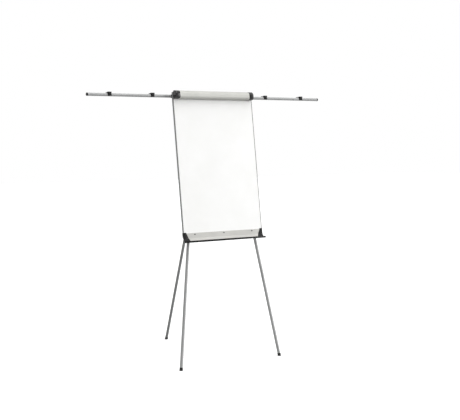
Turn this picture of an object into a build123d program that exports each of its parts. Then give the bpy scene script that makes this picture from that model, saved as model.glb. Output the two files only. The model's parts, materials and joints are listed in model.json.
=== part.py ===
# Flipchart easel on a folding tripod: a board with a hinged clamp bar and a pen tray, two swing-out
# side arms with sliding sheet clips, and three telescopic legs that fold on one hub behind the board.
# Millimetres. The board's own frame has X across the board, Y backwards from its face and Z up along
# it; its origin is where the face would meet the floor, and the whole frame leans back by `lean`.
from build123d import *
from math import cos, radians, sin

# Board
lean = 8.0
board_width = 680.0
board_height = 1050.0
board_top = 2005.0
core_thickness = 12.8
sheet_thickness = 0.6
trim_wall = 1.2
trim_lip = 4.0

# Clamp bar and the rail that it hinges on
clamp_inset = 3.0
bar_depth = 42.0
bar_height = 60.0
bar_wall = 2.4
bar_crown_radius = 30.0
bar_belly_radius = 18.0
hinge_offset = 8.5
hinge_rise = 2.0
bead_radius = 5.0
sleeve_gap = 0.35
sleeve_wall = 2.6
hinge_pin_radius = 2.5
hinge_pin_grip = 22.0
hinge_pin_recess = 0.5
clamp_cap_length = 38.0
clamp_cap_wall = 6.0
clamp_cap_proud = 0.8
clamp_cap_round = 4.0
strip_height = 5.0
strip_proud = 0.8
strip_gap = 0.3
rail_plate = 2.5
slot_height = 20.0
slot_depth = 3.5
slot_mouth = 10.0
slot_lip = 1.5
slot_wall = 2.0
slot_drop = 15.0
rail_foot = 2.0
rail_head = 0.5
neck_drop = 3.5

# Pad pegs, which slide in the rail's slot
peg_place = 200.0
peg_width = 24.0
peg_radius = 3.5
peg_collar_radius = 6.0
peg_collar_length = 2.0
peg_tip_round = 2.1
peg_reach = 16.0

# Pen tray
tray_height = 68.0
tray_lap = 22.0
tray_depth = 27.0
tray_wall = 2.0
tray_lip_height = 9.0
tray_bend = 24.0
tray_bend_drop = 16.0
tray_floor_start = 15.0
tray_floor_bend = 5.0
tray_lip_bend = 3.0
tray_lip_slant = 1.0
tray_cap_top_width = 22.0
tray_cap_bottom_width = 54.0
tray_cap_wall = 4.0
tray_cap_side = 1.5
tray_cap_rise = 4.0
tray_cap_shelf = 6.0
tray_cap_hook = 12.0
tray_cap_seat = 14.0
tray_cap_rim = 3.0
lip_rail_half_length = 350.0
lip_rail_height = 14.0
lip_rail_drop = 2.5
lip_rail_forward = 1.3
lip_rail_round = 1.5
lip_rail_width = 5.0
tray_screw_pitch = 247.0
tray_screw_drop = 11.0

# Side arms and their pivots
arm_reach = 1000.0
arm_radius = 11.0
arm_wall = 1.5
arm_drop = 24.0
arm_depth = 35.0
arm_pivot_place = 300.0
arm_bolt_radius = 4.0
arm_bolt_head_radius = 9.6
arm_bolt_head_height = 5.0
arm_bolt_head_round = 2.5
knuckle_radius = 15.0
knuckle_thickness = 25.4
knuckle_length = 37.0
knuckle_overlap = 21.0
plug_length = 14.0
plug_collar = 9.0
plug_collar_wall = 0.6
plug_round = 3.0
bracket_width = 52.0
bracket_height = 44.0
bracket_plate = 4.0
bracket_corner = 9.0
bracket_drop = 5.0
bracket_screw_place = 19.8
bracket_screw_drop = 15.0

# Sheet clips on the arms
clip_inner_place = 490.0
clip_outer_place = 828.0
clip_width = 28.0
clip_wall = 2.2
clip_ear = 4.0
clip_ear_root = 1.2
clip_jaw_bevel = 3.0
clip_jaw_height = 24.0
clip_jaw_wall = 2.4
clip_jaw_toe = 19.0
clip_tab_length = 44.0
clip_tab_tip = 12.0
clip_tab_wall = 2.4
clip_tab_rise = 4.0
clip_pivot_radius = 1.6
clip_barrel_radius = 3.2

# Hub and the leg pivots
leg_depth = 32.0
leg_pivot_place = 133.0
leg_pivot_drop = 75.0
leg_splay = 8.7
rear_pivot_depth = 34.0
rear_pivot_drop = 94.5
rear_opening = 28.8
leg_bolt_radius = 4.0
leg_bolt_head_radius = 7.2
leg_bolt_head_height = 4.0
leg_bolt_head_round = 2.0
hub_half_width = 168.0
hub_half_width_top = 150.0
hub_below_pivot = 32.0
hub_above_pivot = 32.0
hub_wall = 3.4
hub_corner = 14.0
hub_screw_place = 66.5
hub_screw_below = 20.0
hub_screw_above = 18.0
ear_wall = 5.0

# Legs
upper_radius = 12.5
upper_wall = 1.2
lock_rise = 25.0
lower_radius = 11.0
lower_wall = 1.2
lower_overlap = 190.0
fitting_wall = 1.7
fitting_length = 62.0
fitting_block = 18.5
fitting_corner = 5.7
foot_radius = 12.5
foot_height = 22.0
foot_sole = 8.0

# Leg locks
collar_radius = 16.0
collar_height = 46.0
collar_bush = 14.0
collar_chamfer = 1.5
lever_pin_radius = 2.0
lever_width = 10.0
lever_length = 48.0
lever_ear_wall = 3.6
lever_ear_radius = 4.4
lever_cam_radius = 4.8
lever_neck = 12.0
lever_neck_wall = 3.0
lever_tip_slant = 2.0
lever_reach = 8.0

# Leg guides on the back of the board
guide_rise = 48.0
guide_length = 40.0
guide_wall = 4.0
guide_plate = 3.0

# Screws
screw_radius = 2.5
screw_head_radius = 5.0
screw_head_height = 2.4
screw_length = 9.0
screw_head_round = 1.8

# Clearances
running_fit = 0.05
side_gap = 0.3

on_base = (Align.CENTER, Align.CENTER, Align.MIN)
below = (Align.CENTER, Align.CENTER, Align.MAX)
board_half = board_width / 2
bar_half_length = board_half - clamp_inset - clamp_cap_length
board_back = core_thickness + 2 * sheet_thickness
board_bottom = board_top - board_height
hinge_z = board_top + hinge_rise
sleeve_radius = bead_radius + sleeve_gap + sleeve_wall
bar_bottom = hinge_z + sleeve_radius - bar_height
slot_z = board_top - slot_drop - slot_height / 2
arm_z = board_top - arm_drop
leg_pivot_z = board_top - leg_pivot_drop
upper_length = board_height - leg_pivot_drop - lock_rise
rear_pivot_y = leg_depth + rear_pivot_depth
rear_pivot_z = board_top - rear_pivot_drop
fitting_radius = upper_radius + fitting_wall
clip_saddle_radius = arm_radius + running_fit + clip_wall
clip_pivot_z = clip_saddle_radius + side_gap + clip_barrel_radius
tray_top = board_bottom + tray_lap
tray_bottom = tray_top - tray_height
board_frame = Location((0, 0, 0), (-lean, 0, 0))
pieces = {}


def add(name, shape, frame=Location()):
    """Keep a piece that was made in the board's frame, or in a frame on the board."""
    pieces[name] = board_frame * frame * shape


def rod_x(radius, start, end, y=0.0, z=0.0):
    return Pos(start, y, z) * Rot(0, 90, 0) * Cylinder(radius, end - start, align=on_base)


def rod_y(radius, start, end, x=0.0, z=0.0):
    return Pos(x, start, z) * Rot(-90, 0, 0) * Cylinder(radius, end - start, align=on_base)


def rod_z(radius, start, end, x=0.0, y=0.0):
    return Pos(x, y, start) * Cylinder(radius, end - start, align=on_base)


def block(x0, x1, y0, y1, z0, z1):
    return Pos((x0 + x1) / 2, (y0 + y1) / 2, (z0 + z1) / 2) * Box(x1 - x0, y1 - y0, z1 - z0)


def rectangle(x0, x1, y0, y1):
    return Pos((x0 + x1) / 2, (y0 + y1) / 2) * Rectangle(x1 - x0, y1 - y0)


def along_x(section, start, end):
    """Extrude a section drawn in (Y, Z) from X = start to X = end."""
    return Pos(start, 0, 0) * extrude(Plane.YZ * section, amount=end - start)


def along_y(section, start, end):
    """Extrude a section drawn in (X, Z) from Y = start to Y = end."""
    return Pos(0, end, 0) * extrude(Plane.XZ * section, amount=end - start)


def leg_frame(side):
    """Frame of a front leg: its pivot is the origin and the leg hangs down its own -Z."""
    return Location((side * leg_pivot_place, leg_depth, leg_pivot_z), (0, -side * leg_splay, 0))


rear_frame = Location((0, rear_pivot_y, rear_pivot_z), (rear_opening, 0, 0))


def pivot_height(y, z):
    """Height above the floor of a point of the board's frame."""
    return z * cos(radians(lean)) - y * sin(radians(lean))


front_leg_length = pivot_height(leg_depth, leg_pivot_z) / (
    cos(radians(leg_splay)) * cos(radians(lean))
)
rear_leg_length = pivot_height(rear_pivot_y, rear_pivot_z) / cos(radians(rear_opening - lean))


# ---------------------------------------------------------------- board
def screw_places():
    """Places of the screws that enter the back of the board, as (x, z)."""
    heights = (leg_pivot_z - hub_screw_below, leg_pivot_z + hub_screw_above)
    hub = [(side * hub_screw_place, z) for side in (-1, 1) for z in heights]
    arm = [
        (side * arm_pivot_place + x * bracket_screw_place, arm_z - bracket_screw_drop)
        for side in (-1, 1)
        for x in (-1, 1)
    ]
    return hub, arm


hub_screws, arm_screws = screw_places()


def board_layer(front, back):
    """One layer of the board between two depths, drilled for the screws that reach it."""
    half = board_half - trim_wall
    layer = block(-half, half, front, back, board_bottom, board_top - trim_wall)
    for x, z in hub_screws + arm_screws:
        layer -= rod_y(screw_radius, board_back - screw_length, board_back, x, z)
    for x in (-tray_screw_pitch, 0, tray_screw_pitch):
        layer -= rod_y(screw_radius, 0, screw_length - tray_wall, x, tray_top - tray_screw_drop)
    return layer


def side_trim(side):
    channel = rectangle(
        board_half - trim_lip, board_half, -trim_wall, board_back + trim_wall
    ) - rectangle(board_half - trim_lip, board_half - trim_wall, 0, board_back)
    strip = Pos(0, 0, board_bottom) * extrude(channel, amount=board_height)
    return strip if side > 0 else mirror(strip, about=Plane.YZ)


def top_trim():
    half = board_half - trim_wall
    web = block(-half, half, 0, board_back, board_top - trim_wall, board_top)
    lip_half = board_half - trim_lip
    lip = block(
        -lip_half, lip_half, board_back, board_back + trim_wall, board_top - trim_lip, board_top
    )
    return web + lip


add("board_face_sheet", board_layer(0, sheet_thickness))
add("board_core", board_layer(sheet_thickness, board_back - sheet_thickness))
add("board_back_sheet", board_layer(board_back - sheet_thickness, board_back))
for side, hand in ((-1, "left"), (1, "right")):
    add(f"board_side_trim_{hand}", side_trim(side))
add("board_top_trim", top_trim())


# ---------------------------------------------------------------- clamp
def bar_outline():
    """Outer outline of the clamp bar, closed across its open back."""
    top = (-hinge_offset, hinge_z + sleeve_radius)
    toe = (-strip_gap - bar_wall, bar_bottom)
    corner = (toe[0], top[1])
    crown_start = (bar_crown_radius - bar_depth, top[1])
    belly_start = (-bar_depth, bar_bottom + bar_belly_radius)
    crown = JernArc(crown_start, (-1, 0), bar_crown_radius, 90)
    belly = JernArc(belly_start, (0, -1), bar_belly_radius, 90)
    edges = [
        Line(corner, crown_start), crown, Line(crown @ 1, belly_start), belly,
        Line(belly @ 1, toe), Line(toe, corner),
    ]
    return make_face(edges)


def bar_section(proud=0.0):
    """Section of the bar's wall, thickened outwards by `proud`, with the hinge sleeve."""
    outline = bar_outline()
    outer = offset(outline, proud) if proud else outline
    wall = outer - offset(outline, -bar_wall)
    open_back = rectangle(-hinge_offset, bar_wall, bar_bottom + bar_wall, hinge_z + 3 * sleeve_radius)
    toe = rectangle(-strip_gap - bar_wall, bar_wall, bar_bottom - bar_wall, hinge_z)
    centre = Pos(-hinge_offset, hinge_z)
    sleeve = centre * (Circle(sleeve_radius) - Circle(bead_radius + sleeve_gap))
    reach = 3 * sleeve_radius
    mouth = centre * make_face(
        Polyline(
            (0, 0),
            (reach * cos(radians(-60)), reach * sin(radians(-60))),
            (reach, 0),
            (reach, reach),
            (0, reach),
            close=True,
        )
    )
    bore = centre * Circle(bead_radius + sleeve_gap)
    return wall - open_back - toe + (sleeve - mouth) - bore


def clamp_cap(side):
    """Moulded end cap: a skirt that carries on the bar's section and an end wall on the hinge pin."""
    skirt_end = bar_half_length + clamp_cap_length - clamp_cap_wall
    skirt = along_x(bar_section(clamp_cap_proud), bar_half_length, skirt_end)
    outer = offset(bar_outline(), clamp_cap_proud)
    back = rectangle(-hinge_offset, bar_wall, hinge_z, hinge_z + 3 * sleeve_radius)
    centre = Pos(-hinge_offset, hinge_z)
    behind = rectangle(-trim_wall - 2 * strip_gap, bar_wall, bar_bottom - bar_wall, hinge_z)
    end = along_x(outer - back - behind, skirt_end, skirt_end + clamp_cap_wall)
    rim = end.faces().sort_by(Axis.X)[-1].outer_wire().edges()
    front_rim = [edge for edge in rim if edge.center().Y < -hinge_offset - side_gap]
    end = fillet(front_rim, clamp_cap_round)
    boss = centre * Circle(hinge_offset - trim_wall)
    end += along_x(boss, skirt_end, skirt_end + clamp_cap_wall)
    end -= rod_x(
        hinge_pin_radius + running_fit, skirt_end - 1, skirt_end + clamp_cap_wall + 1,
        -hinge_offset, hinge_z,
    )
    cap = skirt + end
    return cap if side > 0 else mirror(cap, about=Plane.YZ)


def rail_section():
    """Section of the base rail: plate, hinge bead on its neck, and the slot for the pad pegs."""
    foot = slot_z - slot_height / 2 - slot_wall - rail_foot
    plate = rectangle(-rail_plate, 0, foot, hinge_z + rail_head)
    neck = rectangle(-hinge_offset, 0, hinge_z - neck_drop, hinge_z + rail_head)
    bead = Pos(-hinge_offset, hinge_z) * Circle(bead_radius)
    front = rail_plate + slot_depth + slot_lip
    rim = slot_height / 2 + slot_wall
    box = rectangle(-front, 0, slot_z - rim, slot_z + rim)
    slot = rectangle(
        -rail_plate - slot_depth, -rail_plate, slot_z - slot_height / 2, slot_z + slot_height / 2
    )
    mouth = rectangle(-2 * front, -rail_plate, slot_z - slot_mouth / 2, slot_z + slot_mouth / 2)
    pin_bore = Pos(-hinge_offset, hinge_z) * Circle(hinge_pin_radius)
    return plate + neck + bead + (box - slot - mouth) - pin_bore


rail_half_length = bar_half_length + clamp_cap_length - clamp_cap_wall - side_gap
pin_end = bar_half_length + clamp_cap_length - hinge_pin_recess


def hinge_pins():
    pins = [
        rod_x(hinge_pin_radius, rail_half_length - hinge_pin_grip, pin_end, -hinge_offset, hinge_z),
        rod_x(hinge_pin_radius, -pin_end, hinge_pin_grip - rail_half_length, -hinge_offset, hinge_z),
    ]
    return Compound(children=pins)


def grip_strip():
    """Rubber strip in the toe of the bar, which presses the sheets on the board."""
    low = bar_bottom - strip_proud
    section = rectangle(-strip_gap - bar_wall, -strip_gap, low, low + strip_height)
    return along_x(section, -bar_half_length, bar_half_length)


def pad_peg(place):
    """Peg for the pad's punched hole, on a slider that runs in the rail's slot."""
    tall = slot_height / 2 - side_gap
    neck = slot_mouth / 2 - side_gap
    inner = -rail_plate - side_gap
    lip = -rail_plate - slot_depth + side_gap
    front = -rail_plate - slot_depth - slot_lip - side_gap
    x0, x1 = place - peg_width / 2, place + peg_width / 2
    slider = block(x0, x1, lip, inner, slot_z - tall, slot_z + tall)
    stem = block(x0, x1, front, lip, slot_z - neck, slot_z + neck)
    collar = rod_y(peg_collar_radius, front - peg_collar_length, front, place, slot_z)
    pin = rod_y(peg_radius, front - peg_reach, front, place, slot_z)
    tip = pin.edges().sort_by(Axis.Y)[0]
    return slider + stem + collar + fillet(tip, peg_tip_round)


add("clamp_base_rail", along_x(rail_section(), -rail_half_length, rail_half_length))
add("clamp_hinge_pins", hinge_pins())
add("clamp_bar", along_x(bar_section(), -bar_half_length, bar_half_length))
for side, hand in ((-1, "left"), (1, "right")):
    add(f"clamp_end_cap_{hand}", clamp_cap(side))
    add(f"pad_peg_{hand}", pad_peg(side * peg_place))
add("clamp_grip_strip", grip_strip())


# ---------------------------------------------------------------- pen tray
def tray_path():
    """Middle line of the tray's wall: apron on the board, bend, floor and front lip."""
    y = -tray_wall / 2
    floor = tray_bottom + tray_wall / 2
    return FilletPolyline(
        (y, tray_top),
        (y, board_bottom - tray_bend_drop),
        (-tray_floor_start, floor),
        (-tray_depth, floor),
        (-tray_depth - tray_lip_slant, floor + tray_lip_height),
        radius=[tray_bend, tray_floor_bend, tray_lip_bend],
    )


tray_section = trace(tray_path(), tray_wall)


def lip_rail():
    """Black lip that is pushed over the tray's front edge along its whole length."""
    y = -tray_depth - lip_rail_forward
    low = tray_bottom - lip_rail_drop
    section = rectangle(y - lip_rail_width / 2, y + lip_rail_width / 2, low, low + lip_rail_height)
    ends = section.vertices().group_by(Axis.Y)[-1]
    section = fillet(ends, lip_rail_round) - tray_section
    keep = section.faces().sort_by(SortBy.AREA)[-1]
    return along_x(keep, -lip_rail_half_length, lip_rail_half_length)


def mitred_corner():
    """Space on the right-hand end of the tray that belongs to the cap, up to the slanted joint."""
    end = board_half + tray_cap_side + 1
    high = tray_top + tray_cap_rise + 1
    low = tray_bottom - tray_cap_wall
    mitre = Polyline(
        (end, high),
        (board_half - tray_cap_top_width, high),
        (board_half - tray_cap_top_width, tray_top),
        (board_half - tray_cap_bottom_width, low),
        (end, low),
        close=True,
    )
    return along_y(make_face(mitre), -2 * tray_depth, 2 * board_back)


def tray_cap(side):
    """Corner cap: thicker than the tray, mitred on the front, and wrapped round the board's corner."""
    end = board_half + tray_cap_side
    high = tray_top + tray_cap_rise
    body = along_x(trace(tray_path(), tray_cap_wall), 0, end)
    cheek_line = Polyline(
        (board_back + trim_wall + tray_cap_side, high),
        (-tray_cap_wall / 2, high),
        (-tray_cap_wall / 2, board_bottom - tray_bend_drop),
        (-0.7 * tray_floor_start, tray_bottom + tray_lip_height),
        (-tray_depth, tray_bottom + tray_lip_height),
        (-tray_depth, tray_bottom),
        (-tray_floor_start, tray_bottom),
        (board_back + trim_wall + tray_cap_side, board_bottom - tray_cap_shelf),
        close=True,
    )
    cheek = along_x(make_face(cheek_line), board_half, end)
    hook = block(
        board_half - tray_cap_hook, end, board_back + trim_wall,
        board_back + trim_wall + tray_cap_side, board_bottom - tray_cap_shelf, high,
    )
    rim = block(
        board_half - tray_cap_top_width, end, -tray_cap_rim, 0, tray_top - tray_cap_rise / 2, high
    )
    shelf = block(
        board_half - tray_cap_seat, end, -tray_wall / 2, board_back + trim_wall + tray_cap_side / 2,
        board_bottom - tray_cap_shelf, board_bottom,
    )
    corner = block(
        0, board_half, -trim_wall, board_back + trim_wall, board_bottom, board_bottom + board_height
    )
    cap = (body + cheek + hook + rim + shelf) & mitred_corner()
    cap = cap - corner - pieces_raw["tray_lip_rail"]
    cap = cap.solids().sort_by(SortBy.VOLUME)[-1]
    return cap if side > 0 else mirror(cap, about=Plane.YZ)


def tray():
    plate = along_x(tray_section, -board_half, board_half)
    plate -= mitred_corner() + mirror(mitred_corner(), about=Plane.YZ)
    for x in (-tray_screw_pitch, 0, tray_screw_pitch):
        plate -= rod_y(screw_radius, -10, 1, x, tray_top - tray_screw_drop)
    return plate


def dome_screw(x, y, z, facing):
    """Pan-head screw whose head stands on the plane Y = y and faces `facing` (-1 front, +1 back)."""
    head = Cylinder(screw_head_radius, screw_head_height, align=on_base)
    edge = head.edges().group_by(Axis.Z)[-1]
    head = fillet(edge, screw_head_round)
    shank = Cylinder(screw_radius, screw_length, align=below)
    return Pos(x, y, z) * Rot(-90 * facing, 0, 0) * (head + shank)


pieces_raw = {"tray_lip_rail": lip_rail()}
add("pen_tray", tray())
for side, hand in ((-1, "left"), (1, "right")):
    add(f"tray_end_cap_{hand}", tray_cap(side))
add("tray_lip_rail", pieces_raw["tray_lip_rail"])
add(
    "tray_screws",
    Compound(
        children=[
            dome_screw(x, -tray_wall, tray_top - tray_screw_drop, -1)
            for x in (-tray_screw_pitch, 0, tray_screw_pitch)
        ]
    ),
)


# ---------------------------------------------------------------- side arms
def arm_bracket(side):
    """Plate on the back of the board with the boss that the arm's knuckle turns on."""
    x = side * arm_pivot_place
    boss_end = arm_depth - knuckle_thickness / 2 - side_gap
    outline = RectangleRounded(bracket_width, bracket_height, bracket_corner)
    plate = along_y(Pos(x, arm_z - bracket_drop) * outline, board_back, board_back + bracket_plate)
    boss = rod_y(knuckle_radius, board_back + bracket_plate, boss_end, x, arm_z)
    bracket = plate + boss - rod_y(arm_bolt_radius, board_back - 1, boss_end + 1, x, arm_z)
    for sx, sz in arm_screws:
        bracket -= rod_y(screw_radius, board_back - 1, boss_end + 1, sx, sz)
    return bracket


def knuckle(side):
    """Socket for the arm tube, turning on the bracket's bolt. Made at its pivot, arm along +X."""
    disc = rod_y(knuckle_radius, -knuckle_thickness / 2, knuckle_thickness / 2)
    socket = rod_x(knuckle_thickness / 2, 0, knuckle_length)
    shape = disc + socket
    shape -= rod_y(arm_bolt_radius + running_fit, -knuckle_thickness, knuckle_thickness)
    shape -= rod_x(arm_radius, knuckle_length - knuckle_overlap, knuckle_length + 1)
    return shape if side > 0 else mirror(shape, about=Plane.YZ)


def arm_tube():
    start = knuckle_length - knuckle_overlap
    end = arm_reach - arm_pivot_place - plug_collar
    return rod_x(arm_radius, start, end) - rod_x(arm_radius - arm_wall, start - 1, end + 1)


def arm_plug():
    """Plug in the arm's open end, with a rounded collar a little wider than the tube."""
    end = arm_reach - arm_pivot_place
    collar = rod_x(arm_radius + plug_collar_wall, end - plug_collar, end)
    collar = fillet(collar.edges().filter_by(GeomType.CIRCLE).sort_by(Axis.X)[-1], plug_round)
    return collar + rod_x(arm_radius - arm_wall, end - plug_collar - plug_length, end - plug_collar)


def arm_bolts():
    head_start = arm_depth + knuckle_thickness / 2 + side_gap
    bolts = []
    for side in (-1, 1):
        x = side * arm_pivot_place
        shank = rod_y(arm_bolt_radius, board_back, head_start, x, arm_z)
        head = rod_y(arm_bolt_head_radius, head_start, head_start + arm_bolt_head_height, x, arm_z)
        edge = head.edges().filter_by(GeomType.CIRCLE).sort_by(Axis.Y)[-1]
        bolts.append(shank + fillet(edge, arm_bolt_head_round))
    return Compound(children=bolts)


def clip_saddle():
    """Spring saddle round the arm, open below, with two ears on top. Made at X = 0 on the arm."""
    outer, ear_z = clip_saddle_radius, clip_pivot_z
    ring = Circle(outer) - Circle(arm_radius + running_fit)
    mouth = make_face(Polyline((0, 0), (-2 * outer, -2.2 * outer), (2 * outer, -2.2 * outer), close=True))
    saddle = along_x(ring - mouth, -clip_width / 2, clip_width / 2)
    ear = Pos(0, ear_z) * Circle(clip_barrel_radius) + rectangle(
        -clip_barrel_radius, clip_barrel_radius, outer - clip_ear_root, ear_z
    )
    inner = clip_width / 2 - clip_ear
    for start, end in ((-clip_width / 2, -inner), (inner, clip_width / 2)):
        saddle += along_x(ear, start, end)
    return saddle - rod_x(clip_pivot_radius + running_fit, -clip_width, clip_width, 0, ear_z)


def clip_lever():
    """Lever between the saddle's ears: jaw down the front of the arm, thumb tab to the back."""
    outer, pivot_z = clip_saddle_radius, clip_pivot_z
    inner = clip_width / 2 - clip_ear - side_gap
    half = clip_width / 2
    face = -outer - side_gap
    crown = pivot_z + clip_barrel_radius
    roof = crown - clip_tab_wall
    low = crown - clip_jaw_height
    jaw_line = Polyline(
        (0, crown),
        (face - clip_jaw_wall + 2, crown),
        (face - clip_jaw_wall, crown - clip_jaw_bevel),
        (face - clip_jaw_wall, low + 2),
        (face, low),
        (face, roof - clip_jaw_bevel),
        (face + clip_jaw_bevel, roof),
        (0, roof),
        close=True,
    )
    jaw = along_x(make_face(jaw_line), -half, half)
    taper = Polyline(
        (-half, crown), (half, crown), (half, roof - clip_jaw_bevel), (clip_jaw_toe / 2, low),
        (-clip_jaw_toe / 2, low), (-half, roof - clip_jaw_bevel), close=True,
    )
    jaw &= along_y(make_face(taper), 2 * face, outer)
    for start, end in ((-half - 1, -inner), (inner, half + 1)):
        jaw -= block(start, end, -clip_barrel_radius - 2 * side_gap, 1, 0, 2 * crown)
    barrel = rod_x(clip_barrel_radius, -inner, inner, 0, pivot_z)
    pin = rod_x(clip_pivot_radius, -half, half, 0, pivot_z)
    tab_outline = Polyline(
        (-inner, 0), (inner, 0), (clip_tab_tip / 2, clip_tab_length),
        (-clip_tab_tip / 2, clip_tab_length), close=True,
    )
    tab = extrude(make_face(tab_outline), amount=clip_tab_wall)
    return jaw + barrel + pin + Pos(0, 0, crown - clip_tab_wall) * Rot(clip_tab_rise, 0, 0) * tab


arm_frames = {}
for side, hand in ((-1, "left"), (1, "right")):
    arm_frames[hand] = Location((side * arm_pivot_place, arm_depth, arm_z))
    tube = arm_tube()
    plug = arm_plug()
    add(f"arm_bracket_{hand}", arm_bracket(side))
    add(f"arm_knuckle_{hand}", knuckle(side), arm_frames[hand])
    add(f"arm_tube_{hand}", tube if side > 0 else mirror(tube, about=Plane.YZ), arm_frames[hand])
    add(f"arm_plug_{hand}", plug if side > 0 else mirror(plug, about=Plane.YZ), arm_frames[hand])
    for place, where in ((clip_inner_place, "inner"), (clip_outer_place, "outer")):
        spot = Location((side * place, arm_depth, arm_z))
        add(f"clip_saddle_{hand}_{where}", clip_saddle(), spot)
        add(f"clip_lever_{hand}_{where}", clip_lever(), spot)
add("arm_pivot_bolts", arm_bolts())


# ---------------------------------------------------------------- hub
def hub_outline():
    low, high = leg_pivot_z - hub_below_pivot, leg_pivot_z + hub_above_pivot
    corners = Polyline(
        (-hub_half_width, low), (hub_half_width, low), (hub_half_width_top, high),
        (-hub_half_width_top, high), close=True,
    )
    face = make_face(corners)
    return fillet(face.vertices(), hub_corner)


hub_front = leg_depth - fitting_radius - side_gap
hub_back = leg_depth + fitting_radius + side_gap


def leg_hub():
    """Housing open below: the front legs' fittings turn inside it, the rear leg's between its ears."""
    outline = hub_outline()
    shell = along_y(outline, board_back, hub_back + hub_wall)
    low = leg_pivot_z - hub_below_pivot
    inside = offset(outline, -hub_wall) + rectangle(
        -hub_half_width + 2 * hub_wall, hub_half_width - 2 * hub_wall, low - 1, low + hub_corner
    )
    shell -= along_y(inside, hub_front, hub_back)
    ear = Pos(rear_pivot_y, rear_pivot_z) * Circle(fitting_radius) + rectangle(
        hub_back, rear_pivot_y, rear_pivot_z - fitting_radius, rear_pivot_z + fitting_radius
    )
    near = fitting_radius + side_gap
    for start, end in ((-near - ear_wall, -near), (near, near + ear_wall)):
        shell += along_x(ear, start, end)
    for side in (-1, 1):
        shell -= rod_y(
            leg_bolt_radius, board_back - 1, hub_back + 2 * hub_wall, side * leg_pivot_place,
            leg_pivot_z,
        )
    shell -= rod_x(leg_bolt_radius, -50, 50, rear_pivot_y, rear_pivot_z)
    for x, z in hub_screws:
        shell -= rod_y(screw_radius, board_back - 1, hub_front + 1, x, z)
    return shell


def front_bolts():
    bolts = []
    for side in (-1, 1):
        x = side * leg_pivot_place
        end = hub_back + hub_wall
        shank = rod_y(leg_bolt_radius, board_back, end, x, leg_pivot_z)
        head = rod_y(leg_bolt_head_radius, end, end + leg_bolt_head_height, x, leg_pivot_z)
        edge = head.edges().filter_by(GeomType.CIRCLE).sort_by(Axis.Y)[-1]
        bolts.append(shank + fillet(edge, leg_bolt_head_round))
    return Compound(children=bolts)


def rear_bolt():
    reach = fitting_radius + side_gap + ear_wall
    bolt = rod_x(leg_bolt_radius, -reach, reach, rear_pivot_y, rear_pivot_z)
    tip = reach + leg_bolt_head_height
    for start, end in ((-tip, -reach), (reach, tip)):
        bolt += rod_x(leg_bolt_head_radius, start, end, rear_pivot_y, rear_pivot_z)
    return bolt


add("leg_hub", leg_hub())
add("front_leg_pivot_bolts", front_bolts())
add("rear_leg_pivot_bolt", rear_bolt())
add(
    "board_screws",
    Compound(
        children=[dome_screw(x, hub_front, z, 1) for x, z in hub_screws]
        + [dome_screw(x, board_back + bracket_plate, z, 1) for x, z in arm_screws]
    ),
)


# ---------------------------------------------------------------- legs
def leg_fitting(bolt):
    """Moulded top of a leg: a square knuckle on the pivot bolt and a round socket for the tube."""
    side = 2 * fitting_radius
    knuckle_block = block(-side / 2, side / 2, -side / 2, side / 2, -fitting_block, fitting_radius)
    knuckle_block = fillet(knuckle_block.edges().filter_by(Axis.Z), fitting_corner)
    crown = bolt(fitting_radius, -fitting_radius, fitting_radius)
    under = block(-side, side, -side, side, -3 * fitting_radius, 0)
    head = knuckle_block & (crown + under)
    socket = rod_z(fitting_radius, -fitting_length, 0)
    shape = head + socket
    shape -= bolt(leg_bolt_radius + running_fit, -2 * fitting_radius, 2 * fitting_radius)
    return shape - rod_z(upper_radius, -fitting_length - 1, -fitting_radius)


def upper_tube():
    bore = rod_z(upper_radius - upper_wall, -upper_length - 1, 0)
    return rod_z(upper_radius, -upper_length, -fitting_radius) - bore


def lower_tube(length):
    top = -upper_length + lower_overlap
    end = -length + foot_sole
    return rod_z(lower_radius, end, top) - rod_z(lower_radius - lower_wall, end - 1, top + 1)


def lever_axis():
    return collar_radius + lever_reach, -upper_length + collar_height / 2


def lock_collar():
    """Clamp collar on the end of the upper tube, with a bush for the lower tube and lever ears."""
    end = -upper_length - collar_bush
    body = rod_z(collar_radius, end, end + collar_height)
    body = chamfer(body.edges().filter_by(GeomType.CIRCLE), collar_chamfer)
    y, z = lever_axis()
    ear = Pos(y, z) * Circle(lever_ear_radius) + rectangle(
        0, y, z - lever_ear_radius, z + lever_ear_radius
    )
    near = lever_width / 2 + side_gap
    for start, stop in ((-near - lever_ear_wall, -near), (near, near + lever_ear_wall)):
        body += along_x(ear, start, stop)
    body -= rod_z(upper_radius, -upper_length, 0)
    body -= rod_z(lower_radius + running_fit, end - 1, -upper_length + 1)
    return body - rod_x(lever_pin_radius + running_fit, -50, 50, y, z)


def lock_lever():
    """Cam lever between the collar's ears, folded down along the leg."""
    y, z = lever_axis()
    cam = Pos(y, z) * Circle(lever_cam_radius)
    inner = collar_radius + 2 * side_gap
    tip = inner + lever_tip_slant
    outer = y + lever_cam_radius
    handle = Polyline(
        (y - lever_neck_wall, z), (inner, z - lever_neck), (tip, z - lever_length),
        (tip + lever_neck_wall, z - lever_length), (outer, z - lever_neck), (outer, z), close=True,
    )
    lever = along_x(cam + make_face(handle), -lever_width / 2, lever_width / 2)
    reach = lever_width / 2 + side_gap + lever_ear_wall
    return lever + rod_x(lever_pin_radius, -reach, reach, y, z)


def foot(length):
    """Rubber cap on the lower tube, long enough to be trimmed level with the floor."""
    top = -length + foot_height
    cap = rod_z(foot_radius, -length - 10, top)
    cap = chamfer(cap.edges().group_by(Axis.Z)[-1], 1.0)
    return cap - rod_z(lower_radius, -length + foot_sole, top + 1)


def trimmed(shape, frame):
    """The part of a placed foot that is above the floor."""
    placed = board_frame * frame * shape
    box = placed.bounding_box()
    over = Pos(box.center().X, box.center().Y, 0) * Box(
        2 * box.size.X, 2 * box.size.Y, 2 * box.max.Z, align=on_base
    )
    return placed & over


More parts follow.
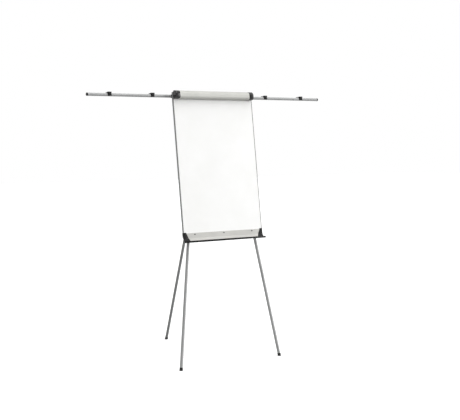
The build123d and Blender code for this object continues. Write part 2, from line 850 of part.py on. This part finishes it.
def leg(name, frame, bolt, length):
    add(f"{name}_fitting", leg_fitting(bolt), frame)
    add(f"{name}_upper_tube", upper_tube(), frame)
    add(f"{name}_lock_collar", lock_collar(), frame)
    add(f"{name}_lock_lever", lock_lever(), frame)
    add(f"{name}_lower_tube", lower_tube(length), frame)
    pieces[f"{name}_foot"] = trimmed(foot(length), frame)


def leg_guides():
    """Brackets on the back of the board that the spread front legs swing into from inside."""
    guides = []
    inner = upper_radius + side_gap
    low = -upper_length - collar_bush + collar_height + guide_rise
    for side in (-1, 1):
        frame = leg_frame(side)
        front = board_back - leg_depth
        wall = rectangle(inner, inner + guide_wall, front, inner + guide_wall)
        plate = rectangle(-inner, inner + 3 * guide_wall, front, front + guide_plate)
        finger = rectangle(-0.2 * inner, inner + guide_wall, inner, inner + guide_wall)
        section = wall + plate + finger
        guide = Pos(0, 0, low) * extrude(section, amount=guide_length)
        guides.append(frame * (guide if side > 0 else mirror(guide, about=Plane.YZ)))
    return Compound(children=guides)


leg("front_leg_left", leg_frame(-1), rod_y, front_leg_length)
leg("front_leg_right", leg_frame(1), rod_y, front_leg_length)
leg("rear_leg", rear_frame, rod_x, rear_leg_length)
add("leg_guides", leg_guides())

# The origin is on the floor in the middle of the easel's footprint.
front_edge = pieces["front_leg_left_foot"].bounding_box().min.Y
rear_edge = pieces["rear_leg_foot"].bounding_box().max.Y
footprint_middle = (front_edge + rear_edge) / 2

for name, shape in pieces.items():
    export_step(Pos(0, -footprint_middle, 0) * shape, f"parts/{name}.step")
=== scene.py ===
import json
from math import cos, pi, radians, sin

import bpy
from mathutils import Matrix, Vector


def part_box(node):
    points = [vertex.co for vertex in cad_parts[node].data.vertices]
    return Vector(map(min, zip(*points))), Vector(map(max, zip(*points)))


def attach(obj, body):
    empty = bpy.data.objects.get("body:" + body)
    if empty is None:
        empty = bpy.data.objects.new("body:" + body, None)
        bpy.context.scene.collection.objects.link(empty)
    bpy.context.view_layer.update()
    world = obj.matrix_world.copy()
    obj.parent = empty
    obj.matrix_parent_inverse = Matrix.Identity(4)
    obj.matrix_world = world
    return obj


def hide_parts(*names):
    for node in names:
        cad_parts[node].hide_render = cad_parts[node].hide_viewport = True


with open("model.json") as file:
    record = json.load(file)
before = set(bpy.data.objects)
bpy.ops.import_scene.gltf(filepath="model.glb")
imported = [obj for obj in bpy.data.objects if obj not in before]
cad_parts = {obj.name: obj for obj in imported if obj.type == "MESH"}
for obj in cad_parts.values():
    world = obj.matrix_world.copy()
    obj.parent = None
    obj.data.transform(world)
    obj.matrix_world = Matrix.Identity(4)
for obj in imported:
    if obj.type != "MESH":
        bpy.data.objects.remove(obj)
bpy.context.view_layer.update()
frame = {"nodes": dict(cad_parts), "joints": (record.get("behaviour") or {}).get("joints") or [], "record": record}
nodes = frame["nodes"]
slotOf = {entry["node"]: entry["material_slot"] for entry in frame["record"]["subparts"]}
bodies = frame["record"]["behaviour"]["bodies"]
bodyOf = {node: body for body, names in bodies.items() for node in names}
joints = {joint["name"]: joint for joint in frame["joints"]}
print("frame loaded:", len(nodes), "CAD pieces")


# ---- camera: stands in front and to the left, a little below the clamp bar ----
cameraView = {
    "place": (-3.645, -6.277, 1.618),
    "yaw": 32.22,      # degrees right of straight ahead
    "pitch": 4.10,     # degrees down
    "roll": 0.33,
    "lens": 73.6,      # mm on a 36 mm sensor
}


def makeCamera(view):
    data = bpy.data.cameras.new("camera")
    data.lens = view["lens"]
    data.sensor_width = 36.0
    data.clip_end = 100.0
    camera = bpy.data.objects.new("camera", data)
    bpy.context.scene.collection.objects.link(camera)
    turn = Matrix.Rotation(radians(-view["yaw"]), 4, "Z")
    tip = Matrix.Rotation(radians(90.0 - view["pitch"]), 4, "X")
    lean = Matrix.Rotation(radians(-view["roll"]), 4, "Z")
    camera.matrix_world = Matrix.Translation(view["place"]) @ turn @ tip @ lean
    bpy.context.scene.camera = camera


makeCamera(cameraView)
bpy.context.scene.view_settings.view_transform = "Standard"
print("camera set")


# ---- materials ----
# sRGB hex to the linear values that the shader sockets take.
def linear(hexColour):
    values = [int(hexColour[i:i + 2], 16) / 255.0 for i in (1, 3, 5)]
    lit = [v / 12.92 if v <= 0.04045 else ((v + 0.055) / 1.055) ** 2.4 for v in values]
    return (*lit, 1.0)


# Adds one shader node with its settings, its socket values and the links into it.
def node(tree, kind, settings=None, inputs=None, links=None):
    made = tree.nodes.new(kind)
    for key, value in (settings or {}).items():
        setattr(made, key, value)
    for key, value in (inputs or {}).items():
        made.inputs[key].default_value = value
    for key, source in (links or {}).items():
        tree.links.new(source, made.inputs[key])
    return made


def newMaterial(name):
    material = bpy.data.materials.new(name)
    material.use_nodes = True
    tree = material.node_tree
    tree.nodes.clear()
    place = node(tree, "ShaderNodeTexCoord").outputs["Object"]
    return material, tree, place


def closeMaterial(tree, shader):
    node(tree, "ShaderNodeOutputMaterial", links={"Surface": shader.outputs["BSDF"]})


# Extruded or drawn metal: fine draw lines along the piece, a slight cloud in the colour.
def satinMetal(name, light, dark, grain, metallic, roughness):
    material, tree, place = newMaterial(name)
    stretched = node(tree, "ShaderNodeMapping", inputs={"Scale": grain}, links={"Vector": place})
    lines = node(
        tree, "ShaderNodeTexNoise", inputs={"Scale": 1.0, "Detail": 3.0, "Roughness": 0.6},
        links={"Vector": stretched.outputs["Vector"]},
    )
    cloud = node(
        tree, "ShaderNodeTexNoise", inputs={"Scale": 9.0, "Detail": 2.0}, links={"Vector": place},
    )
    blend = node(
        tree, "ShaderNodeMath", {"operation": "MULTIPLY_ADD", "use_clamp": True},
        inputs={1: 0.6}, links={0: lines.outputs["Fac"], 2: cloud.outputs["Fac"]},
    )
    colour = node(tree, "ShaderNodeValToRGB", links={"Fac": blend.outputs["Value"]})
    colour.color_ramp.elements[0].position = 0.35
    colour.color_ramp.elements[0].color = linear(dark)
    colour.color_ramp.elements[1].position = 0.95
    colour.color_ramp.elements[1].color = linear(light)
    rough = node(
        tree, "ShaderNodeMapRange",
        inputs={"To Min": roughness - 0.05, "To Max": roughness + 0.07},
        links={"Value": lines.outputs["Fac"]},
    )
    bump = node(
        tree, "ShaderNodeBump", inputs={"Strength": 0.06, "Distance": 0.0002},
        links={"Height": lines.outputs["Fac"]},
    )
    shader = node(
        tree, "ShaderNodeBsdfPrincipled", inputs={"Metallic": metallic},
        links={
            "Base Color": colour.outputs["Color"], "Roughness": rough.outputs["Result"],
            "Normal": bump.outputs["Normal"],
        },
    )
    closeMaterial(tree, shader)
    return material


# Injection-moulded plastic or rubber: spark-eroded grain that breaks up the highlight.
def mouldedPlastic(name, colourHex, paleHex, grit, roughness, bumpDepth, gloss):
    material, tree, place = newMaterial(name)
    grain = node(
        tree, "ShaderNodeTexNoise", inputs={"Scale": 1.0 / grit, "Detail": 2.0, "Roughness": 0.5},
        links={"Vector": place},
    )
    scuff = node(
        tree, "ShaderNodeTexNoise", inputs={"Scale": 28.0, "Detail": 5.0, "Roughness": 0.65},
        links={"Vector": place},
    )
    colour = node(tree, "ShaderNodeValToRGB", links={"Fac": scuff.outputs["Fac"]})
    colour.color_ramp.elements[0].position = 0.45
    colour.color_ramp.elements[0].color = linear(colourHex)
    colour.color_ramp.elements[1].position = 0.85
    colour.color_ramp.elements[1].color = linear(paleHex)
    rough = node(
        tree, "ShaderNodeMapRange",
        inputs={"To Min": roughness - 0.06, "To Max": roughness + 0.08},
        links={"Value": scuff.outputs["Fac"]},
    )
    bump = node(
        tree, "ShaderNodeBump", inputs={"Strength": 0.35, "Distance": bumpDepth},
        links={"Height": grain.outputs["Fac"]},
    )
    shader = node(
        tree, "ShaderNodeBsdfPrincipled", inputs={"IOR": 1.5, "Specular IOR Level": gloss},
        links={
            "Base Color": colour.outputs["Color"], "Roughness": rough.outputs["Result"],
            "Normal": bump.outputs["Normal"],
        },
    )
    closeMaterial(tree, shader)
    return material


# Dry-wipe lacquer baked on steel: nearly white, glossy, with a faint orange peel.
def whiteLacquer(name):
    material, tree, place = newMaterial(name)
    peel = node(
        tree, "ShaderNodeTexNoise", inputs={"Scale": 420.0, "Detail": 1.0}, links={"Vector": place},
    )
    haze = node(
        tree, "ShaderNodeTexNoise", inputs={"Scale": 3.5, "Detail": 4.0, "Roughness": 0.6},
        links={"Vector": place},
    )
    colour = node(tree, "ShaderNodeValToRGB", links={"Fac": haze.outputs["Fac"]})
    colour.color_ramp.elements[0].position = 0.3
    colour.color_ramp.elements[0].color = linear("#f7f7f5")
    colour.color_ramp.elements[1].position = 0.7
    colour.color_ramp.elements[1].color = linear("#fcfcfb")
    bump = node(
        tree, "ShaderNodeBump", inputs={"Strength": 0.05, "Distance": 0.0002},
        links={"Height": peel.outputs["Fac"]},
    )
    shader = node(
        tree, "ShaderNodeBsdfPrincipled",
        inputs={"Roughness": 0.22, "IOR": 1.5, "Coat Weight": 0.3, "Coat Roughness": 0.08},
        links={"Base Color": colour.outputs["Color"], "Normal": bump.outputs["Normal"]},
    )
    closeMaterial(tree, shader)
    return material


# Hot-dip galvanised sheet: zinc crystals about 12 mm across, each with its own grey.
def galvanised(name):
    material, tree, place = newMaterial(name)
    spangle = node(
        tree, "ShaderNodeTexVoronoi", inputs={"Scale": 80.0, "Randomness": 1.0},
        links={"Vector": place},
    )
    grey = node(tree, "ShaderNodeSeparateColor", links={"Color": spangle.outputs["Color"]})
    colour = node(tree, "ShaderNodeValToRGB", links={"Fac": grey.outputs["Red"]})
    colour.color_ramp.elements[0].color = linear("#a3a6a7")
    colour.color_ramp.elements[1].color = linear("#b2b5b6")
    rough = node(
        tree, "ShaderNodeMapRange", inputs={"To Min": 0.36, "To Max": 0.52},
        links={"Value": grey.outputs["Green"]},
    )
    shader = node(
        tree, "ShaderNodeBsdfPrincipled", inputs={"Metallic": 0.85},
        links={"Base Color": colour.outputs["Color"], "Roughness": rough.outputs["Result"]},
    )
    closeMaterial(tree, shader)
    return material


# Pressed wood chips, 2 to 4 mm, seen only inside the screw holes and below the trims.
def chipboard(name):
    material, tree, place = newMaterial(name)
    chips = node(
        tree, "ShaderNodeTexVoronoi", inputs={"Scale": 320.0}, links={"Vector": place},
    )
    grey = node(tree, "ShaderNodeSeparateColor", links={"Color": chips.outputs["Color"]})
    colour = node(tree, "ShaderNodeValToRGB", links={"Fac": grey.outputs["Red"]})
    colour.color_ramp.elements[0].color = linear("#8a6f4d")
    colour.color_ramp.elements[1].color = linear("#c9ab7c")
    shader = node(
        tree, "ShaderNodeBsdfPrincipled", inputs={"Roughness": 0.8},
        links={"Base Color": colour.outputs["Color"]},
    )
    closeMaterial(tree, shader)
    return material


# Draw lines about 1 mm apart, coarser than real ones so that they show, and plain specks.
acrossGrain = (3.0, 900.0, 900.0)
uprightGrain = (900.0, 900.0, 3.0)
evenGrain = (600.0, 600.0, 600.0)
finishes = {
    "white_lacquered_steel": whiteLacquer("white dry-wipe lacquer baked on steel"),
    "galvanised_steel": galvanised("hot-dip galvanised sheet"),
    "chipboard": chipboard("pressed chipboard"),
    # extruded and anodised: an even sheen without a mirror image
    "anodised_aluminium": satinMetal(
        "satin anodised aluminium extrusion", "#bebeb9", "#b2b2ad", acrossGrain, 0.25, 0.6,
    ),
    # drawn tube: one soft light band along it
    "arm_aluminium": satinMetal(
        "satin anodised aluminium tube", "#a6a7a7", "#9a9b9b", acrossGrain, 0.1, 0.5,
    ),
    # baked powder: hardly any gloss
    "leg_aluminium": satinMetal(
        "grey powder-coated aluminium tube", "#a0a1a1", "#929393", uprightGrain, 0.2, 0.5,
    ),
    # spark-eroded tool: matt, with a wide weak highlight
    "black_plastic": mouldedPlastic(
        "moulded black nylon", "#070708", "#0e0e0f", 0.0009, 0.5, 0.0002, 0.2,
    ),
    # matt and a little paler, from wear
    "black_rubber": mouldedPlastic(
        "moulded black rubber", "#2a2a2a", "#363636", 0.0014, 0.72, 0.0003, 0.3,
    ),
    # bright plating on turned steel
    "zinc_plated_steel": satinMetal(
        "zinc-plated steel", "#b9bcc0", "#a4a7ab", evenGrain, 0.9, 0.35,
    ),
}
# anodised trim, its grey set darker than the bar's as painted shade for the board's shaded left edge
trimShadedFinish = satinMetal(
    "anodised edge trim darkened as painted shade", "#808181", "#727373", uprightGrain, 0.2, 0.55,
)
# moulded in a polished tool, so the lamps show in it
capFinish = mouldedPlastic(
    "polished black ABS", "#080809", "#101011", 0.0009, 0.19, 0.0001, 0.4,
)
# dull dark zinc, with a soft glint at the rim
screwFinish = satinMetal(
    "black-passivated steel", "#3e4043", "#303235", evenGrain, 0.8, 0.4,
)
# the same powder as the front legs, painted a darker grey as shade on the rear leg
rearLegShadedFinish = satinMetal(
    "grey powder-coated aluminium tube with painted shade", "#868787", "#7a7b7b", uprightGrain, 0.2, 0.5,
)
# rolled sheet, bent and anodised: a little warmer and duller than the clamp bar
trayFinish = satinMetal(
    "satin anodised bent sheet", "#b5b4b0", "#a9a8a4", acrossGrain, 0.25, 0.5,
)
ownFinish = {
    # edge trims: anodised grey darkened as painted shade
    "board_side_trim_left": trimShadedFinish, "board_side_trim_right": trimShadedFinish,
    "board_top_trim": trimShadedFinish, "pen_tray": trayFinish, "tray_screws": screwFinish,
    # rear leg tubes: the leg powder darkened as painted shade
    "rear_leg_upper_tube": rearLegShadedFinish, "rear_leg_lower_tube": rearLegShadedFinish,
    "clamp_end_cap_left": capFinish, "clamp_end_cap_right": capFinish,
}


def finishOf(name):
    return ownFinish.get(name, finishes[slotOf[name]])


for name, piece in nodes.items():
    for slot in piece.material_slots:
        slot.material = finishOf(name)
print("materials made:", len(bpy.data.materials))


# ---- modelling helpers ----
facing = 0.9             # a face looks along an axis where its normal has more than this
hair = 0.00001           # two planes nearer than this are one
flat = 0.5               # degrees: faces that meet at less are one face
crease = 30.0            # degrees: smooth shading stops at a sharper edge


def alone(piece):
    bpy.ops.object.select_all(action="DESELECT")
    piece.select_set(True)
    bpy.context.view_layer.objects.active = piece


# Goes into edit mode with only the faces selected that pass the test.
def pickFaces(piece, test):
    alone(piece)
    bpy.ops.object.mode_set(mode="EDIT")
    bpy.ops.mesh.select_mode(type="FACE")
    bpy.ops.mesh.select_all(action="DESELECT")
    bpy.ops.object.mode_set(mode="OBJECT")
    for face in piece.data.polygons:
        face.select = test(face)
    bpy.ops.object.mode_set(mode="EDIT")


# Moves the selection along Z, leaving walls behind, and then scales its outline.
def pull(distance, scale=1.0):
    bpy.ops.mesh.extrude_region_move(TRANSFORM_OT_translate={"value": (0, 0, distance)})
    if scale != 1.0:
        bpy.ops.transform.resize(value=(scale, scale, 1.0))


def outwards(piece):
    alone(piece)
    bpy.ops.object.mode_set(mode="EDIT")
    bpy.ops.mesh.select_all(action="SELECT")
    bpy.ops.mesh.normals_make_consistent(inside=False)
    bpy.ops.object.mode_set(mode="OBJECT")


def smooth(piece, angle):
    alone(piece)
    bpy.ops.object.shade_smooth_by_angle(angle=radians(angle))


def addModifier(piece, kind, settings):
    made = piece.modifiers.new(kind.lower(), kind)
    for key, value in settings.items():
        setattr(made, key, value)
    alone(piece)
    bpy.ops.object.modifier_apply(modifier=made.name)


# Turns the piece's Z to the given direction, moves it there and puts the place in its mesh.
def settle(piece, place, direction):
    turn = Vector(direction).to_track_quat("Z", "Y").to_matrix().to_4x4()
    piece.matrix_world = Matrix.Translation(place) @ turn
    alone(piece)
    bpy.ops.object.transform_apply(location=True, rotation=True, scale=True)


def ownCopy(piece, name):
    made = bpy.data.objects.new(name, piece.data.copy())
    bpy.context.scene.collection.objects.link(made)
    return made


def joinAll(pieces, name):
    bpy.ops.object.select_all(action="DESELECT")
    for piece in pieces:
        piece.select_set(True)
    bpy.context.view_layer.objects.active = pieces[0]
    if len(pieces) > 1:
        bpy.ops.object.join()
    pieces[0].name = name
    return pieces[0]


# A CAD node's own mesh with its loose triangles merged into faces.
def mergedCopy(name, newName):
    piece = ownCopy(nodes[name], newName)
    alone(piece)
    if piece.data.has_custom_normals:
        bpy.ops.mesh.customdata_custom_splitnormals_clear()
    bpy.ops.object.mode_set(mode="EDIT")
    bpy.ops.mesh.select_all(action="SELECT")
    bpy.ops.mesh.remove_doubles(threshold=0.5 * hair)
    bpy.ops.mesh.dissolve_limited(angle_limit=radians(flat))
    bpy.ops.object.mode_set(mode="OBJECT")
    return piece


def standFor(piece, name):
    piece.data.materials.clear()
    piece.data.materials.append(finishOf(name))
    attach(piece, bodyOf[name])
    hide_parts(name)


# ---- moulded parts: every outside edge gets the small radius of its mould ----
moulding = {
    "radius": 0.0006,
    "edgeAngle": 35.0,
    "smoothAngle": 32.0,
    "own": {                    # radius and edge angle where edges run into a curve
        "arm_knuckle": (0.0004, 50.0),
        "clamp_end_cap": (0.0004, 88.0),
    },
    "starts": (
        "clip_", "clamp_end_cap", "tray_end_cap", "tray_lip_rail", "leg_hub", "leg_guides",
        "arm_bracket", "arm_knuckle", "arm_plug", "pad_peg",
    ),
    "ends": ("_lock_collar", "_lock_lever"),
}

# Thumb ribs: how far in from the end and up the first is looked for, the step to the next
# and the way to look.
ribs = {
    "clamp_end_cap": {
        "count": 9, "inward": 0.004, "rise": 0.014, "step": (0, 0, 0.0046), "look": (0, 1, 0),
        "length": 0.018, "width": 0.0022, "height": 0.0016, "crown": 0.00099,
    },
    "clip_lever": {
        "count": 5, "inward": 0.004, "rise": 0.0, "step": (0, -0.0040, 0), "look": (0, 0, -1),
        "length": 0.012, "width": 0.0016, "height": 0.0011, "crown": 0.00072,
    },
    "lock_lever": {
        "count": 5, "inward": 0.0, "rise": 0.008, "step": (0, 0, 0.0038), "look": (0, -1, 0),
        "length": 0.011, "width": 0.0016, "height": 0.0011, "crown": 0.00072,
    },
}


# One rib: a bar along X with a rounded back, half sunk in what it stands on.
def makeRib(size):
    bpy.ops.object.select_all(action="DESELECT")
    bpy.ops.mesh.primitive_cube_add(size=1.0)
    rib = bpy.context.object
    rib.scale = (size["length"], size["width"], 2 * size["height"])
    bpy.ops.object.transform_apply(location=True, rotation=True, scale=True)
    pickFaces(rib, lambda face: face.normal.z > facing)
    bpy.ops.mesh.bevel(offset=size["crown"], segments=3, affect="EDGES")
    bpy.ops.object.mode_set(mode="OBJECT")
    return rib


# Puts ribs on a surface, found by looking at it along one direction.
def ribsOn(piece, size, first):
    model = makeRib(size)
    along = Vector((1, 0, 0))
    made = []
    for i in range(size["count"]):
        start = Vector(first) + i * Vector(size["step"])
        hit, place, normal, _ = piece.ray_cast(start, Vector(size["look"]))
        if not hit:
            continue
        rib = ownCopy(model, "rib")
        side = (along - along.dot(normal) * normal).normalized()
        turn = Matrix((side, normal.cross(side), normal)).transposed().to_4x4()
        rib.matrix_world = Matrix.Translation(place) @ turn
        alone(rib)
        bpy.ops.object.transform_apply(location=True, rotation=True, scale=True)
        made.append(rib)
    bpy.data.objects.remove(model)
    return made


def ribsFor(name, piece):
    kinds = [kind for kind in ribs if kind in name]
    if not kinds:
        return []
    size = ribs[kinds[0]]
    low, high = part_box(name)
    middle = (low + high) / 2
    side = 1 if middle.x > 0 else -1
    away = 0.02                          # the look starts this far outside the part
    starts = {
        "clamp_end_cap": (middle.x - side * size["inward"], low.y - away, low.z + size["rise"]),
        "clip_lever": (middle.x, high.y - size["inward"], high.z + away),
        "lock_lever": (middle.x, high.y + away, low.z + size["rise"]),
    }
    return ribsOn(piece, size, starts[kinds[0]])


for name in sorted(nodes):
    if not (name.startswith(moulding["starts"]) or name.endswith(moulding["ends"])):
        continue
    radius, edgeAngle = moulding["radius"], moulding["edgeAngle"]
    for start, values in moulding["own"].items():
        if name.startswith(start):
            radius, edgeAngle = values
    piece = mergedCopy(name, name + "_moulding")
    added = ribsFor(name, piece)
    addModifier(piece, "BEVEL", {
        "width": radius, "segments": 2, "limit_method": "ANGLE",
        "angle_limit": radians(edgeAngle), "use_clamp_overlap": False,
    })
    piece = joinAll([piece] + added, name + "_moulding")
    smooth(piece, moulding["smoothAngle"])
    standFor(piece, name)
print("moulded parts rounded")


# ---- screws and bolts ----
screws = {
    "panHead": {
        "radius": 0.0050, "height": 0.0024, "crown": 0.0016, "shank": 0.0020, "length": 0.009,
        "recess": "cross", "recessWidth": 0.0013, "recessReach": 0.0028, "recessDepth": 0.0016,
    },
    "armBolt": {
        "radius": 0.0096, "height": 0.0050, "crown": 0.0036, "shank": 0.0040, "length": 0.034,
        "recess": "hex", "recessWidth": 0.0060, "recessReach": 0.0, "recessDepth": 0.0026,
    },
    "legBolt": {
        "radius": 0.0072, "height": 0.0040, "crown": 0.0030, "shank": 0.0030, "length": 0.018,
        "recess": "hex", "recessWidth": 0.0050, "recessReach": 0.0, "recessDepth": 0.0022,
    },
    "sides": 48,
    "recessTaper": 0.8,         # a recess's width at its bottom, as a share of its mouth's
}


# A head that stands on Z = 0 with its shank below, and a driver recess cut into its crown.
def makeScrew(size):
    radius, height = size["radius"], size["height"]
    bpy.ops.object.select_all(action="DESELECT")
    bpy.ops.mesh.primitive_cylinder_add(
        vertices=screws["sides"], radius=radius, depth=height, location=(0, 0, height / 2),
    )
    piece = bpy.context.object
    bpy.ops.object.transform_apply(location=True, rotation=True, scale=True)
    pickFaces(piece, lambda face: face.normal.z > facing)
    bpy.ops.mesh.bevel(offset=size["crown"], segments=5, affect="EDGES")
    bpy.ops.object.mode_set(mode="OBJECT")
    pickFaces(piece, lambda face: face.normal.z < -facing)
    bpy.ops.mesh.inset(thickness=radius - size["shank"])
    pull(-size["length"])
    bpy.ops.object.mode_set(mode="OBJECT")

    def isTop(face):
        return face.normal.z > facing and face.center.z > height - hair

    half, reach = size["recessWidth"] / 2, size["recessReach"]
    cuts = [(i * pi / 3, half) for i in range(6)]
    if size["recess"] == "cross":
        cuts = [(i * pi / 2, offset) for i in range(4) for offset in (half, reach)]
    for angle, offset in cuts:
        normal = Vector((cos(angle), sin(angle), 0))
        pickFaces(piece, isTop)
        bpy.ops.mesh.bisect(plane_co=normal * offset, plane_no=normal)
        bpy.ops.object.mode_set(mode="OBJECT")

    def inRecess(face):
        x, y = abs(face.center.x), abs(face.center.y)
        if not isTop(face):
            return False
        if size["recess"] == "cross":
            return (x < half and y < reach) or (y < half and x < reach)
        return all(
            face.center.x * cos(angle) + face.center.y * sin(angle) < offset
            for angle, offset in cuts
        )

    pickFaces(piece, inRecess)
    pull(-size["recessDepth"], screws["recessTaper"])
    bpy.ops.object.mode_set(mode="OBJECT")
    outwards(piece)
    return piece


# Where the head of each screw of a node stands, from the node's own loose solids.
def headPlaces(name, outward, height):
    outward = Vector(outward).normalized()
    up = outward.cross(Vector((1, 0, 0) if abs(outward.x) < 0.5 else (0, 1, 0))).normalized()
    across = up.cross(outward)
    piece = mergedCopy(name, "loose")
    alone(piece)
    bpy.ops.object.mode_set(mode="EDIT")
    bpy.ops.mesh.select_all(action="SELECT")
    bpy.ops.mesh.separate(type="LOOSE")
    bpy.ops.object.mode_set(mode="OBJECT")
    places = []
    for part in list(bpy.context.selected_objects):
        sets = [[v.co.dot(way) for v in part.data.vertices] for way in (across, up, outward)]
        sideways, upwards = [(min(values) + max(values)) / 2 for values in sets[:2]]
        places.append(across * sideways + up * upwards + outward * (max(sets[2]) - height))
        bpy.data.objects.remove(part)
    return sorted(places, key=lambda place: tuple(place))


boardBack = Vector(joints["arm_right_swing"]["axis"])
boardFront = -boardBack
fixings = {
    "tray_screws": ("panHead", [boardFront]),
    "board_screws": ("panHead", [boardBack]),
    "arm_pivot_bolts": ("armBolt", [boardBack]),
    "front_leg_pivot_bolts": ("legBolt", [boardBack]),
    "rear_leg_pivot_bolt": ("legBolt", [Vector((1, 0, 0)), Vector((-1, 0, 0))]),
}
for name, (kind, ways) in fixings.items():
    size = screws[kind]
    model = makeScrew(size)
    made = []
    for way in ways:
        for place in headPlaces(name, way, size["height"]):
            screw = ownCopy(model, "screw")
            settle(screw, place, way)
            made.append(screw)
    bpy.data.objects.remove(model)
    piece = joinAll(made, name + "_heads")
    smooth(piece, crease)
    standFor(piece, name)
    print(name, len(made), "made")


# ---- rubber feet: a ribbed cap with a bore for the tube, cut level with the floor ----
foot = {
    "radius": 0.0125, "bore": 0.0110, "boreDepth": 0.018, "ribs": 4, "ribPitch": 0.0042,
    "groove": 0.0007, "slope": 0.0003, "valley": 0.0009,
    "lip": 0.0010, "below": 0.030, "sides": 64, "rounding": 0.0003, "roundingAngle": 35.0,
}


def makeFoot(leg):
    name = leg + "_foot"
    pivot = Vector(joints[leg + "_fold"]["pos_m"])
    axis = Vector(joints[leg + "_height"]["axis"]).normalized()
    top = max((v.co - pivot).dot(axis) for v in nodes[name].data.vertices)
    bpy.ops.object.select_all(action="DESELECT")
    bpy.ops.mesh.primitive_cylinder_add(
        vertices=foot["sides"], radius=foot["radius"], depth=foot["below"],
        location=(0, 0, -foot["ribs"] * foot["ribPitch"] - foot["lip"] - foot["below"] / 2),
    )
    piece = bpy.context.object
    bpy.ops.object.transform_apply(location=True, rotation=True, scale=True)
    pickFaces(piece, lambda face: face.normal.z > facing)
    narrow = 1.0 - foot["groove"] / foot["radius"]
    for _ in range(foot["ribs"]):
        pull(foot["slope"], narrow)
        pull(foot["valley"])
        pull(foot["slope"], 1.0 / narrow)
        pull(foot["ribPitch"] - 2 * foot["slope"] - foot["valley"])
    rim = foot["radius"] - 0.5 * foot["lip"]
    pull(foot["lip"], rim / foot["radius"])
    bpy.ops.mesh.inset(thickness=rim - foot["bore"])
    pull(-foot["boreDepth"])
    bpy.ops.object.mode_set(mode="OBJECT")
    settle(piece, pivot + axis * top, axis)
    bpy.ops.object.mode_set(mode="EDIT")
    bpy.ops.mesh.select_all(action="SELECT")
    bpy.ops.mesh.bisect(
        plane_co=(0, 0, hair), plane_no=(0, 0, 1), use_fill=True, clear_inner=True,
    )
    bpy.ops.object.mode_set(mode="OBJECT")
    outwards(piece)
    addModifier(piece, "BEVEL", {
        "width": foot["rounding"], "segments": 2, "limit_method": "ANGLE",
        "angle_limit": radians(foot["roundingAngle"]),
    })
    piece.name = name + "_rubber"
    smooth(piece, crease)
    standFor(piece, name)


for leg in ("front_leg_left", "front_leg_right", "rear_leg"):
    makeFoot(leg)
print("feet made")


# ---- studio ----
studio = {
    "floorSize": 60.0,
    "floorPale": "#fafafa",       # what the lens and gloss see
    "floorBounce": "#989898",     # what lights the undersides
    "floorLift": 0.26,            # keeps the open floor white around the shadow
    "ambientLow": 0.40,           # light of the room at eye level
    "ambientHigh": 0.72,          # and overhead
    "lamps": {                    # degrees right of the board's front, degrees up, spread, power
        "side soft box": (56.0, 11.0, 36.0, 1.9),
        "overhead box": (40.0, 64.0, 44.0, 1.4),
    },
}


# 1 where the ray shows the surroundings themselves: to the lens, in gloss or through glass.
def backgroundMask(tree):
    path = node(tree, "ShaderNodeLightPath")
    mirrored = node(
        tree, "ShaderNodeMath", {"operation": "MAXIMUM"},
        links={0: path.outputs["Is Glossy Ray"], 1: path.outputs["Is Transmission Ray"]},
    )
    return node(
        tree, "ShaderNodeMath", {"operation": "MAXIMUM"},
        links={0: path.outputs["Is Camera Ray"], 1: mirrored.outputs["Value"]},
    ).outputs["Value"]


def lightWorld():
    world = bpy.data.worlds.new("studio")
    world.use_nodes = True
    tree = world.node_tree
    tree.nodes.clear()
    way = node(tree, "ShaderNodeTexCoord").outputs["Generated"]
    height = node(tree, "ShaderNodeSeparateXYZ", links={"Vector": way})
    ambient = node(
        tree, "ShaderNodeMapRange",
        inputs={"To Min": studio["ambientLow"], "To Max": studio["ambientHigh"]},
        links={"Value": height.outputs["Z"]},
    )
    strength = node(
        tree, "ShaderNodeMapRange", inputs={"To Max": 1.0},
        links={"Value": backgroundMask(tree), "To Min": ambient.outputs["Result"]},
    )
    background = node(
        tree, "ShaderNodeBackground", inputs={"Color": (1, 1, 1, 1)},
        links={"Strength": strength.outputs["Result"]},
    )
    node(tree, "ShaderNodeOutputWorld", links={"Surface": background.outputs["Background"]})
    bpy.context.scene.world = world


def makeFloor():
    bpy.ops.object.select_all(action="DESELECT")
    bpy.ops.mesh.primitive_plane_add(size=studio["floorSize"])
    floor = bpy.context.object
    floor.name = "studio_floor"
    material, tree, place = newMaterial("white studio floor")
    mask = backgroundMask(tree)
    colour = node(
        tree, "ShaderNodeMix", {"data_type": "RGBA"},
        inputs={6: linear(studio["floorBounce"]), 7: linear(studio["floorPale"])}, links={0: mask},
    )
    lift = node(
        tree, "ShaderNodeMath", {"operation": "MULTIPLY"}, inputs={1: studio["floorLift"]},
        links={0: mask},
    )
    shader = node(
        tree, "ShaderNodeBsdfPrincipled",
        inputs={"Roughness": 1.0, "Specular IOR Level": 0.0, "Emission Color": (1, 1, 1, 1)},
        links={"Base Color": colour.outputs[2], "Emission Strength": lift.outputs["Value"]},
    )
    closeMaterial(tree, shader)
    floor.data.materials.append(material)


def makeLamp(name, right, height, spread, power):
    data = bpy.data.lights.new(name, "SUN")
    data.energy = power
    data.angle = radians(spread)
    lamp = bpy.data.objects.new(name, data)
    bpy.context.scene.collection.objects.link(lamp)
    right, height = radians(right), radians(height)
    towards = Vector((sin(right) * cos(height), -cos(right) * cos(height), sin(height)))
    lamp.matrix_world = (-towards).to_track_quat("-Z", "Y").to_matrix().to_4x4()


lightWorld()
makeFloor()
for name, values in studio["lamps"].items():
    makeLamp(name, *values)
print("studio lit")
